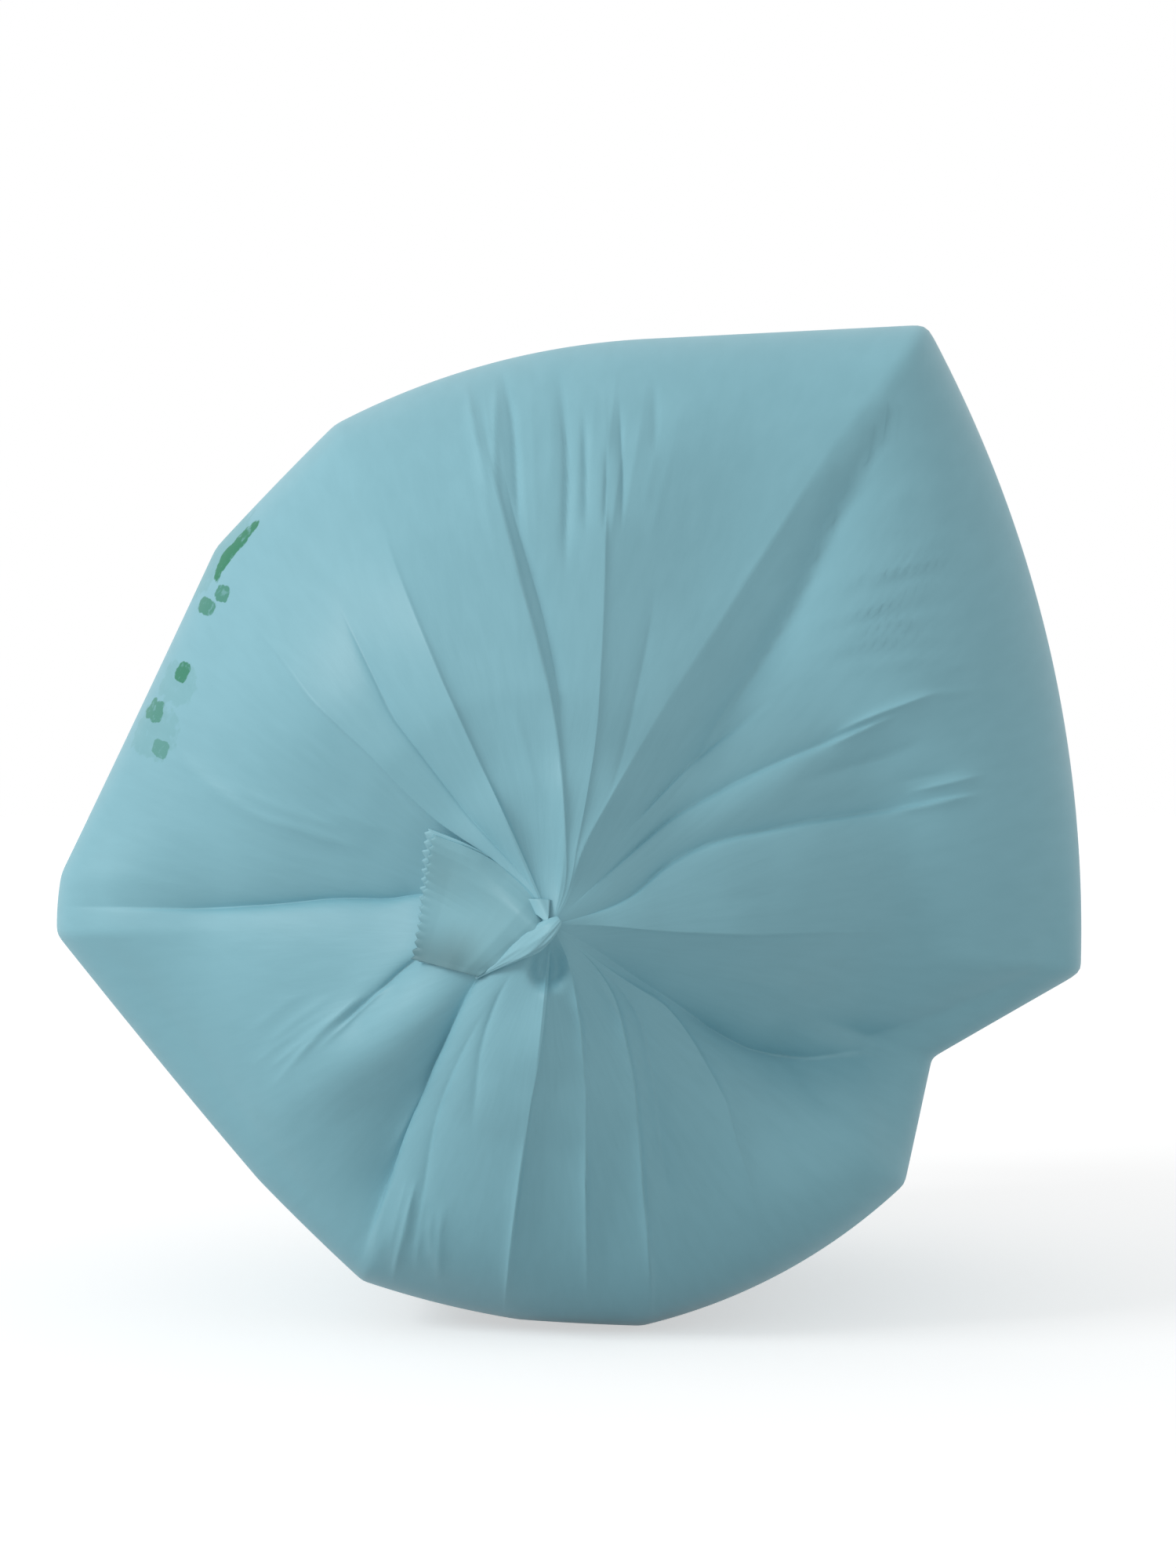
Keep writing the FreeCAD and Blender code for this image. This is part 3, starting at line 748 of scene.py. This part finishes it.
def sheet_mesh(name, points):
    """A closed thin sheet about a grid of points, in metres."""
    rows, columns = points.shape[:2]
    normal = np.cross(*np.gradient(points, axis=(0, 1)))
    normal /= np.maximum(np.linalg.norm(normal, axis=2, keepdims=True), 1e-12)
    top = (points + normal * TAB_THICKNESS * MM / 2).reshape(-1, 3)
    bottom = (points - normal * TAB_THICKNESS * MM / 2).reshape(-1, 3)
    count = rows * columns
    faces = strip_faces(0, rows, columns, closed=False)
    faces += [tuple(index + count for index in reversed(face)) for face in faces]
    grid = np.arange(count).reshape(rows, columns)
    edge = np.concatenate([grid[0, :-1], grid[:-1, -1], grid[-1, :0:-1], grid[:0:-1, 0]]).tolist()
    for here, beside in zip(edge, edge[1:] + edge[:1]):
        faces.append((here, beside, beside + count, here + count))
    return new_mesh(name, np.concatenate([top, bottom]), faces)


def neighbours(grid):
    """The three by three values round each one in a grid."""
    return np.lib.stride_tricks.sliding_window_view(np.pad(grid, 1, mode="edge"), (3, 3))


def bridged(grid):
    """Heights of a sheet that bridges the hollows of what it lies on."""
    return neighbours(neighbours(grid).max(axis=(2, 3))).mean(axis=(2, 3))


def blended(grid, rows, columns):
    """A grid's values at fractional rows and columns."""
    row, column = np.floor(rows).astype(int), np.floor(columns).astype(int)
    next_row = np.minimum(row + 1, grid.shape[0] - 1)
    next_column = np.minimum(column + 1, grid.shape[1] - 1)
    down, right = (rows - row)[:, None], (columns - column)[None, :]
    upper, lower = [between(grid[np.ix_(line, column)], grid[np.ix_(line, next_column)], right)
                    for line in (row, next_row)]
    return between(upper, lower, down)


def laid_out(tree, across, up):
    """How far out a grid of places lies, where it bridges the film's hollows."""
    coarse = slice(None, None, TAB_COARSE)
    outs = film_out(tree, across[coarse, coarse], up[coarse, coarse])
    rows, columns = [np.interp(np.arange(fine), np.arange(fine)[coarse], np.arange(count))
                     for fine, count in zip(across.shape, outs.shape)]
    return blended(bridged(outs), rows, columns)


def tab_places(layer, along, beside):
    """Places of one layer of the tab before its teeth, and the way it points at each."""
    root = SEAL_START + (SEAL_END - SEAL_START) * beside[..., None]
    tip = TAB_LOW + (TAB_HIGH - TAB_LOW) * beside[..., None]
    outward = (tip - root) / np.linalg.norm(tip - root, axis=2, keepdims=True)
    tip = tip + outward * (layer.low_reach + (layer.high_reach - layer.low_reach) * beside[..., None])
    across, up = np.moveaxis(tip - root[:, :1], -1, 0)
    tip = np.stack(turned(across, up, layer.turn), axis=-1) + root[:, :1]
    flat = np.clip((along - TAB_FLAT_FROM) / (1 - TAB_FLAT_FROM), 0, 1)
    place = between(root, tip, flat[..., None])
    bulge = TAB_BULGE * np.sin(pi * flat) * beside ** 4
    return place[..., 0] + bulge / 2, place[..., 1] + bulge, outward


def tab_out(layer, along, beside, floor):
    """How far out one layer of the tab stands, over the film that it lies on."""
    sunk = TAB_SUNK * (1 - ease(0, 0.03, along))
    stand = TAB_STAND * ease(0, 0.05, along) * (1 - ease(0.06, 0.42, along))
    rest = (TAB_REST + layer.lift) * ease(0.02, 0.3, along)
    pleats = TAB_PLEATS * np.sin(beside * tau * 4 + 1.5 * np.sin(beside * 9))
    pleats = pleats * np.exp(-along / 0.07) * ease(0.0, 0.04, along)
    waves = TAB_WAVES * np.sin(7.0 * beside + 3.4 * along + layer.turn) * ease(0.15, 0.8, along)
    drooping = TAB_DROOP * ease(0.5, 0.0, beside) * ease(0.4, 0.9, along)
    tucked = TAB_TUCK * ease(0.78, 1.0, beside) * (1 - ease(0.45, 0.85, along))
    return floor - sunk + stand + rest + pleats + waves + drooping + tucked


def tab_layer(tree, layer, rng):
    """Points of one layer of the tab, from its root at the seal to its toothed end."""
    along = np.linspace(0, 1, TAB_ROWS)[:, None] ** TAB_CROWD
    beside = np.linspace(0, 1, TAB_COLUMNS)[None, :]
    across, up, outward = tab_places(layer, along, beside)
    out = tab_out(layer, along, beside, laid_out(tree, across, up))
    tooth = np.abs((beside * np.linalg.norm(TAB_HIGH - TAB_LOW) / TOOTH_PITCH) % 1 - 0.5) * 2
    uneven = smoothed(rng.uniform(-1, 1, TAB_COLUMNS), 4)
    ragged = (TOOTH_DEPTH * layer.teeth * tooth + uneven) * ease(0.9, 1, along)
    across, up = across + outward[..., 0] * ragged, up + outward[..., 1] * ragged
    return to_row(*on_front(across, up, out))


def gather_mesh(tree, rng):
    """The star seal itself: the end of the tube, pleated together into a short ridge."""
    along = np.linspace(0, 1, RIDGE_ROWS)[:, None]
    turn = np.linspace(0, tau, RIDGE_COLUMNS, endpoint=False)[None, :]
    direction = (SEAL_END - SEAL_START) / np.linalg.norm(SEAL_END - SEAL_START)
    beside = np.array([-direction[1], direction[0]])
    run = along * (1 + 2 * RIDGE_PAST) - RIDGE_PAST
    middle = SEAL_START + (SEAL_END - SEAL_START) * run
    middle = middle - beside * RIDGE_BEND * along ** 2 * np.sin(pi * along)
    blunt = np.sqrt(np.sin(pi * (RIDGE_BLUNTNESS + (1 - 2 * RIDGE_BLUNTNESS) * along)))
    size = (RIDGE_SIZE + RIDGE_GROWTH * ease(0.1, 0.75, along)) * blunt
    flutes = np.zeros((RIDGE_ROWS, RIDGE_COLUMNS))
    for count, twist in RIDGE_FLUTES:
        phase = rng.uniform(0, tau)
        wave = np.abs(np.sin(count * turn / 2 + twist * along + phase))
        flutes += (1 - wave) * FLUTE_DEPTH / count
    size = size * (RIDGE_SHARE + flutes)
    ends = film_out(tree, middle[:, 0], middle[:, 1])
    ridge = smoothed(ends, 4, wrap=False)[:, None] + RIDGE_LIFT + RIDGE_RISE * ease(0, 0.9, along)
    across = middle[:, :1] + beside[0] * size * np.cos(turn)
    up = middle[:, 1:] + beside[1] * size * np.cos(turn)
    leaning = size * (RIDGE_SHARE * np.sin(turn) - RIDGE_LEAN * np.cos(turn))
    points = to_row(*on_front(across, up, ridge + leaning)).reshape(-1, 3)
    return new_mesh("star_seal", points, tube_faces(RIDGE_ROWS, RIDGE_COLUMNS))


def flap_mesh(tree):
    """The small loose corner of film that stands up beside the seal."""
    along = np.linspace(0, FLAP_END, FLAP_STEPS)[:, None, None]
    beside = np.linspace(0, 1, FLAP_STEPS)[None, :, None]
    left, right, foot = (np.array(corner) for corner in FLAP_CORNERS)
    place = between(between(left, right, beside), foot, along)
    floor = film_out(tree, place[..., 0], place[..., 1])
    left, right, foot = FLAP_LIFTS
    lift = between(between(left, right, beside), foot, along)
    curl = FLAP_CURL * np.sin(pi * beside) * (1 - along)
    points = to_row(*on_front(place[..., 0], place[..., 1], floor + (lift + curl)[..., 0]))
    return sheet_mesh("seal_flap", points)


# ---------------------------------------------------------------- the tied mouth
KNOT_TURN, KNOT_DEPTH = 3.7, 1.6
STRAND_RADIUS = 6.2
STRAND_ROWS, STRAND_COLUMNS = 220, 64
# Pleats along the strand: counts and twist, what their wander is drawn from, their depth,
# and the share of the strand's radius inside them.
KNOT_PLEATS, KNOT_TWIST = (9, 14, 23), 4
PLEAT_WANDER, PLEAT_DEPTH, PLAIN_SHARE = (0.3, 0.8), 2.6, 0.82

# A handle end: its half width, how far its two layers are apart, and its ruffles.
EAR_LENGTH, EAR_SPREAD, EAR_OFFSET = 58.0, 38.0, 2
EAR_ROWS, EAR_COLUMNS = 90, 220
EAR_WIDTH, EAR_FLARE, EAR_WIDENING = 6.5, 17.5, 2.0
EAR_OPEN, EAR_GAP, EAR_PINCH = 5.0, 0.9, 0.6
EAR_FLATNESS = 0.75
EAR_RUFFLES, RUFFLE_SWAY, RUFFLE_HEIGHT = (2.3, 3.9, 6.1), 1.2, 4.6
EAR_FOLDS, EAR_CURVE, EAR_SLANT, EAR_TEETH, EAR_DROOP = 0.7, 0.07, 3.0, 0.5, 7.0


def strand_rings(path, rng):
    """Rings of points about a closed path, with pleats that run along it."""
    ahead = np.roll(path, -1, axis=0) - np.roll(path, 1, axis=0)
    ahead /= np.linalg.norm(ahead, axis=1, keepdims=True)
    side = path - path.mean(axis=0)
    side -= ahead * np.sum(side * ahead, axis=1, keepdims=True)
    side /= np.linalg.norm(side, axis=1, keepdims=True)
    other = np.cross(ahead, side)
    turn = np.linspace(0, tau, STRAND_COLUMNS, endpoint=False)[None, :]
    along = np.linspace(0, tau, len(path), endpoint=False)[:, None]
    lift = np.zeros((len(path), STRAND_COLUMNS))
    for count in KNOT_PLEATS:
        phase = rng.uniform(0, tau)
        wander = rng.uniform(*PLEAT_WANDER) * np.sin(2 * along + phase)
        wave = np.abs(np.sin(count * turn / 2 + wander + KNOT_TWIST * along / 2))
        lift += (1 - wave) * PLEAT_DEPTH / count
    reach = STRAND_RADIUS * (PLAIN_SHARE + lift)[..., None]
    return path[:, None] + reach * (side[:, None] * np.cos(turn)[..., None]
                                    + other[:, None] * np.sin(turn)[..., None])


def knot_mesh(rng):
    """The overhand knot: one strand of gathered film that goes three times through itself."""
    turn = np.linspace(0, tau, STRAND_ROWS, endpoint=False)
    across = NECK_ACROSS + KNOT_TURN * (np.sin(turn) + 2 * np.sin(2 * turn))
    up = NECK_UP + KNOT_TURN * (np.cos(turn) - 2 * np.cos(2 * turn))
    out = KNOT_OUT - KNOT_DEPTH * KNOT_TURN * np.sin(3 * turn)
    rings = strand_rings(np.stack([across, up, out], axis=1), rng)
    points = to_row(*np.moveaxis(rings, -1, 0)).reshape(-1, 3)
    faces = strip_faces(0, STRAND_ROWS, STRAND_COLUMNS)
    last = (STRAND_ROWS - 1) * STRAND_COLUMNS
    for column in range(STRAND_COLUMNS):
        beside = (column + 1) % STRAND_COLUMNS
        faces.append((last + column, column, beside, last + beside))
    return new_mesh("knot", points, faces)


def ear_ruffle(share, along, side, rng):
    """How far a handle end stands off its own flat shape, in ruffles and finer folds."""
    ruffle = np.zeros_like(share)
    for count in EAR_RUFFLES:
        phase = rng.uniform(0, tau)
        sway = rng.uniform(-RUFFLE_SWAY, RUFFLE_SWAY)
        ruffle += np.sin(count * pi * share + phase + sway * along) * RUFFLE_HEIGHT / count
    ruffle *= 0.25 + 0.75 * ease(0.1, 0.9, along)
    folds = EAR_FOLDS * np.sin(26 * share + 2 * np.sin(5 * along + side)) * (1 - 0.6 * along)
    return ruffle, folds


def ear_mesh(name, side, rng):
    """One handle end: a flat double layer that fans out from the knot in ruffles."""
    along = np.linspace(0, 1, EAR_ROWS)[:, None]
    round_edge = np.linspace(0, tau, EAR_COLUMNS, endpoint=False)[None, :]
    width = EAR_WIDTH + EAR_FLARE * ease(0, 0.9, along) + EAR_WIDENING * along
    gap = EAR_OPEN * (1 - ease(0.0, 0.7, along)) + EAR_GAP - EAR_PINCH * ease(0.9, 1.0, along)
    beside = width * np.sign(np.cos(round_edge)) * np.abs(np.cos(round_edge)) ** EAR_FLATNESS
    share = beside / width
    ruffle, folds = ear_ruffle(share, along, side, rng)
    apart = gap * np.sin(round_edge) + ruffle + folds
    forward = EAR_LENGTH * along * (1 - EAR_CURVE * share ** 2)
    forward = forward - EAR_SLANT * np.sin(3.1 * share + side) * along
    forward = forward + EAR_TEETH * np.abs((share * 9) % 1 - 0.5) * ease(0.97, 1.0, along)
    turn = radians(EAR_SPREAD) * (0.55 + 0.45 * along)
    across = NECK_ACROSS + side * (EAR_OFFSET + forward * np.sin(turn)) + side * apart * np.cos(turn)
    out = KNOT_OUT - forward * np.cos(turn) + apart * np.sin(turn)
    up = NECK_UP + beside - EAR_DROOP * along ** 2 + 0 * out
    points = to_row(across, up, out).reshape(-1, 3)
    return new_mesh(name, points, tube_faces(EAR_ROWS, EAR_COLUMNS))


# ---------------------------------------------------------------- materials
FILM, FILM_DEEP = (0.258, 0.525, 0.608, 1), (0.235, 0.488, 0.566, 1)
# The tab's tone, and a darker tone that paints shade on the tab's low left corner.
TAB_TINT, TAB_PAINTED_SHADE = (0.225, 0.44, 0.49, 1), (0.135, 0.275, 0.31, 1)
SEAL_TINT = (0.33, 0.61, 0.69, 1)
PRINT_GREEN = (0.02, 0.22, 0.12, 1)
WHITE = (1, 1, 1, 1)
FILM_SHINE, FOLDED_ROUGHNESS = 0.35, 0.5
# Noises: scale, detail and roughness.
MOTTLE, FOLDED_MOTTLE, WEAR, RAGGED = (14.0, 3.0), (60.0, 4.0), (420.0, 2.0), (320.0, 3.0)
CRINKLE, FOLDED_CRINKLE = (95.0, 4.0, 0.55), (130.0, 3.0)
# Noises drawn out along lines from the seal: factors on the angle and on lengths first.
STREAKS, FINE_LINES = (9.0, 0.02, 4.0, 3.0), (40.0, 0.06, 1.6, 4.0, 0.6)
# Strength and depth in millimetres of the bumps on the film.
FILM_BUMP, FOLDED_BUMP = (0.16, 0.6), (0.2, 0.8)

# The left flank starts between these places across.  Places along it count across and up
# by these factors.
FLANK, ALONG_FLANK = (-62.0, -72.0), (0.44, 0.9)
PRINT_SQUARENESS, PRINT_EDGE, PRINT_RAGGED = 3.0, (1.1, 0.7), 1.2
# Printed shapes on the left flank: middle along the flank and out from the widest part,
# half sizes, and how strongly each is printed.
PRINT_BARS = (
    (59.5, 27.5, 10.5, 3.4, 1),
    (57, 6, 16, 22, 0.14),
    (46.5, 34, 2.6, 3.2, 0.8),
    (41, 29, 2.6, 5, 0.8),
    (20.6, 31, 3, 3.2, 0.95),
    (17, 30, 6.5, 8.5, 0.13),
    (6.5, 25, 3.6, 4.5, 0.75),
    (1.5, 28, 8.5, 9, 0.13),
    (-2.5, 33, 2.6, 3, 0.6),
    (57, -52, 10, 32, 1),
    (35, -46, 4, 38, 1),
    (20, -54, 4, 30, 1),
    (5, -46, 4, 38, 1),
)


class Shader:
    """Adds nodes to a material or a world and links them, one call a node."""

    def __init__(self, owner, surface="Principled BSDF"):
        owner.use_nodes = True
        self.nodes = owner.node_tree.nodes
        self.links = owner.node_tree.links
        self.surface = self.nodes[surface]

    def feed(self, socket, value):
        """Links a socket to an input, or sets the input to a value."""
        if isinstance(value, bpy.types.NodeSocket):
            self.links.new(value, socket)
        else:
            socket.default_value = value

    def add(self, kind, *values):
        """Adds a node of a kind, and feeds its first inputs in order."""
        node = self.nodes.new("ShaderNode" + kind)
        for socket, value in zip(node.inputs, values):
            self.feed(socket, value)
        return node

    def math(self, operation, *values):
        """A function of numbers."""
        node = self.add("Math", *values)
        node.operation = operation
        return node.outputs[0]

    def plus(self, first, second):
        return self.math("ADD", first, second)

    def times(self, first, second):
        return self.math("MULTIPLY", first, second)

    def combine(self, x, y, z):
        return self.add("CombineXYZ", x, y, z).outputs[0]

    def ramp(self, value, low, high, start=0.0, end=1.0):
        """Goes smoothly from start to end as the value goes from low to high."""
        node = self.add("MapRange", value, low, high, start, end)
        node.interpolation_type = "SMOOTHSTEP"
        return node.outputs[0]

    def noise(self, vector, scale, detail, roughness=0.5):
        """Noise between 0 and 1."""
        node = self.add("TexNoise", vector)
        node.inputs["Scale"].default_value = scale
        node.inputs["Detail"].default_value = detail
        node.inputs["Roughness"].default_value = roughness
        return node.outputs["Fac"]

    def mix(self, share, first, second):
        """Two colours mixed by a share of the second."""
        node = self.add("Mix")
        node.data_type = "RGBA"
        self.feed(node.inputs["Factor"], share)
        self.feed(node.inputs["A"], first)
        self.feed(node.inputs["B"], second)
        return node.outputs["Result"]

    def paint(self, colour, roughness, shine):
        """Gives the surface its colour, its roughness and its shine."""
        self.feed(self.surface.inputs["Base Color"], colour)
        self.feed(self.surface.inputs["Roughness"], roughness)
        self.surface.inputs["Specular IOR Level"].default_value = shine

    def bump(self, relief, strength, depth):
        """Bumps the surface by a relief, with its depth in millimetres."""
        node = self.add("Bump", strength, depth * MM)
        self.feed(node.inputs["Height"], relief)
        self.feed(self.surface.inputs["Normal"], node.outputs[0])

    def show(self, seen, output):
        """Shows another shader to the camera, in reflections and through what is clear."""
        ray = self.add("LightPath").outputs
        either = self.math("MAXIMUM", ray["Is Camera Ray"], ray["Is Glossy Ray"])
        any_of = self.math("MAXIMUM", either, ray["Is Transmission Ray"])
        mixed = self.add("MixShader", any_of, self.surface.outputs[0], seen.outputs[0])
        self.feed(self.nodes[output].inputs["Surface"], mixed.outputs[0])


def seal_places(shader):
    """Place as a vector, then across, up and out in millimetres about the seal."""
    where = shader.add("TexCoord").outputs["Object"]
    apart = shader.add("SeparateXYZ", where).outputs
    x, y, z = (float(part) for part in to_row(0, 0, 0))
    across = shader.math("MULTIPLY_ADD", apart[0], 1 / MM, -x / MM)
    out = shader.math("MULTIPLY_ADD", apart[1], -1 / MM, y / MM)
    up = shader.math("MULTIPLY_ADD", apart[2], 1 / MM, -z / MM)
    return where, across, up, out


def drawn_out(shader, polar, around, outwards, *noise):
    """Noise drawn out along lines from the seal."""
    angle, reach, out = polar
    lengths = [shader.times(length, outwards) for length in (reach, out)]
    return shader.noise(shader.combine(shader.times(angle, around), *lengths), *noise)


def printed(shader, where, across, up, out):
    """How strongly the film is printed: worn bars and blobs along the left flank."""
    along = shader.plus(shader.times(across, ALONG_FLANK[0]), shader.times(up, ALONG_FLANK[1]))
    ragged = shader.noise(where, *RAGGED)
    ragged = shader.math("MULTIPLY_ADD", ragged, 2 * PRINT_RAGGED, -PRINT_RAGGED)
    ink = 0.0
    for middle, depth, half_along, half_out, strength in PRINT_BARS:
        powers = []
        for place, centre, half in ((along, middle, half_along), (out, depth, half_out)):
            share = shader.math("DIVIDE", shader.math("SUBTRACT", place, centre), half)
            powers.append(shader.math("POWER", shader.math("ABSOLUTE", share), PRINT_SQUARENESS))
        inside = shader.ramp(shader.plus(shader.plus(*powers), ragged), *PRINT_EDGE, 0.0, strength)
        ink = shader.math("MAXIMUM", ink, inside)
    return shader.times(ink, shader.ramp(across, *FLANK))


def film_material():
    """The film: mottled and streaked, printed on its left flank and finely crinkled."""
    material = bpy.data.materials.new("film")
    shader = Shader(material)
    where, across, up, out = seal_places(shader)
    angle = shader.math("ARCTAN2", up, across)
    reach = shader.math("SQRT", shader.plus(shader.times(across, across), shader.times(up, up)))
    polar = (angle, reach, out)
    mottle = shader.noise(where, *MOTTLE)
    streaks = drawn_out(shader, polar, *STREAKS)
    tone = shader.plus(shader.times(mottle, 0.6), shader.times(streaks, 0.4))
    plain = shader.mix(shader.ramp(tone, 0.3, 0.7), FILM_DEEP, FILM)
    worn = shader.ramp(shader.noise(where, *WEAR), 0.3, 0.45, 0.6, 1.0)
    ink = shader.times(printed(shader, where, across, up, out), worn)
    roughness = shader.ramp(mottle, 0.3, 0.7, 0.42, 0.54)
    shader.paint(shader.mix(ink, plain, PRINT_GREEN), roughness, FILM_SHINE)
    fine = shader.times(drawn_out(shader, polar, *FINE_LINES), 0.35)
    shader.bump(shader.plus(shader.noise(where, *CRINKLE), fine), *FILM_BUMP)
    return material


def folded_film_material(name, tint, painted_shade_tint):
    """Film in several layers: one tone, with shade painted darker in the low left corner of the tab.
    """
    material = bpy.data.materials.new(name)
    shader = Shader(material)
    where, across, up, _ = seal_places(shader)
    plain = shader.mix(shader.noise(where, *FOLDED_MOTTLE), tint, FILM_DEEP)
    # Painted shade: the colour darkens towards the tab's low left corner.
    low = shader.times(shader.ramp(up, 6.0, -7.0), shader.ramp(across, -15.0, -28.0))
    shader.paint(shader.mix(low, plain, painted_shade_tint), FOLDED_ROUGHNESS, FILM_SHINE)
    shader.bump(shader.noise(where, *FOLDED_CRINKLE), *FOLDED_BUMP)
    return material


# ---------------------------------------------------------------- stage
SENSOR_HEIGHT = 24
CAMERA_DISTANCE = 1000.0
FRAME_HEIGHT = 476.0
FRAME_ACROSS, FRAME_UP = 11.0, 42.8
# Seen by the camera, the floor glows: nearly white by the bag, wholly white further off.
FLOOR_SIZE, FLOOR_GREY, FLOOR_ROUGHNESS = 30, 0.62, 0.9
FLOOR_FADE, FLOOR_GLOW = (0.3, 2.2), (0.55, 0.7)
FILL_STRENGTH, BACKDROP_STRENGTH = 0.633, 1.0
# The lamp's place and what it is turned to, in metres, its width and its power in watts.
KEY_SPOT, KEY_TARGET = (-1.95, -1.25, 1.3), (0, -0.1, 0.15)
KEY_SIZE, KEY_POWER = 1.0, 25.3


def placed(name, data, spot=(0, 0, 0), turn=(0, 0, 0)):
    """Puts a mesh, a camera or a lamp in the scene."""
    item = bpy.data.objects.new(name, data)
    item.location = spot
    item.rotation_euler = turn
    bpy.context.scene.collection.objects.link(item)
    return item


def make_camera():
    """The camera, level and square to the bag's front."""
    camera = bpy.data.cameras.new("camera")
    camera.sensor_fit = "VERTICAL"
    camera.sensor_height = SENSOR_HEIGHT
    camera.lens = SENSOR_HEIGHT * CAMERA_DISTANCE / FRAME_HEIGHT
    spot = Vector(to_row(FRAME_ACROSS, FRAME_UP, CAMERA_DISTANCE))
    bpy.context.scene.camera = placed("camera", camera, spot, (pi / 2, 0, 0))


def make_key():
    """The soft lamp, high on the left."""
    lamp = bpy.data.lights.new("key", "AREA")
    lamp.shape = "DISK"
    lamp.size = KEY_SIZE
    lamp.energy = KEY_POWER
    ahead = Vector(KEY_TARGET) - Vector(KEY_SPOT)
    placed("key", lamp, KEY_SPOT, ahead.to_track_quat("-Z", "Y").to_euler())


def make_floor():
    """The floor that the bag stands on."""
    bpy.ops.mesh.primitive_plane_add(size=FLOOR_SIZE, location=(0, 0, BAG_LOW[2]))
    floor = bpy.context.object
    floor.name = "floor"
    material = bpy.data.materials.new("floor")
    shader = Shader(material)
    shader.paint((FLOOR_GREY, FLOOR_GREY, FLOOR_GREY, 1), FLOOR_ROUGHNESS, 0.0)
    distance = shader.add("VectorMath", shader.add("TexCoord").outputs["Object"])
    distance.operation = "LENGTH"
    rising = shader.add("MapRange", distance.outputs["Value"], *FLOOR_FADE, *FLOOR_GLOW)
    glow = shader.add("Emission", WHITE, rising.outputs["Result"])
    added = shader.add("AddShader", shader.surface.outputs[0], glow.outputs[0])
    shader.show(added, "Material Output")
    floor.data.materials.append(material)


def make_world():
    """Even light from all round, and a white backdrop for the camera."""
    world = bpy.data.worlds.new("studio")
    bpy.context.scene.world = world
    shader = Shader(world, "Background")
    shader.surface.inputs["Color"].default_value = WHITE
    shader.surface.inputs["Strength"].default_value = FILL_STRENGTH
    shader.show(shader.add("Background", WHITE, BACKDROP_STRENGTH), "World Output")


def add_piece(name, mesh, material):
    """Makes a piece of the bag from a mesh."""
    piece = placed(name, mesh)
    mesh.materials.append(material)
    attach(piece, "root")
    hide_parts("bag")
    return piece


def main():
    """Makes the camera, the stage and every piece."""
    bpy.context.scene.view_settings.view_transform = "Standard"
    make_camera()
    make_floor()
    make_world()
    make_key()
    rng = np.random.default_rng(11)
    film = film_material()
    tab = folded_film_material("tab_film", TAB_TINT, TAB_PAINTED_SHADE)
    gathered = folded_film_material("gathered_film", SEAL_TINT, SEAL_TINT)
    blown_up = add_piece("blown_up_film", film_mesh(rng), film)
    mesh = blown_up.data
    tree = BVHTree.FromPolygons([vertex.co for vertex in mesh.vertices],
                                [tuple(polygon.vertices) for polygon in mesh.polygons])
    for index, layer in enumerate(TAB_LAYERS, start=1):
        name = f"seal_tab_layer_{index}"
        points = tab_layer(tree, layer, rng)
        add_piece(name, sheet_mesh(name, points), tab if index == 1 else gathered)
    add_piece("star_seal", gather_mesh(tree, rng), gathered)
    add_piece("seal_flap", flap_mesh(tree), gathered)
    add_piece("tied_knot", knot_mesh(rng), film)
    for name, side in (("handle_end_left", -1), ("handle_end_right", 1)):
        add_piece(name, ear_mesh(name, side, rng), film)


main()
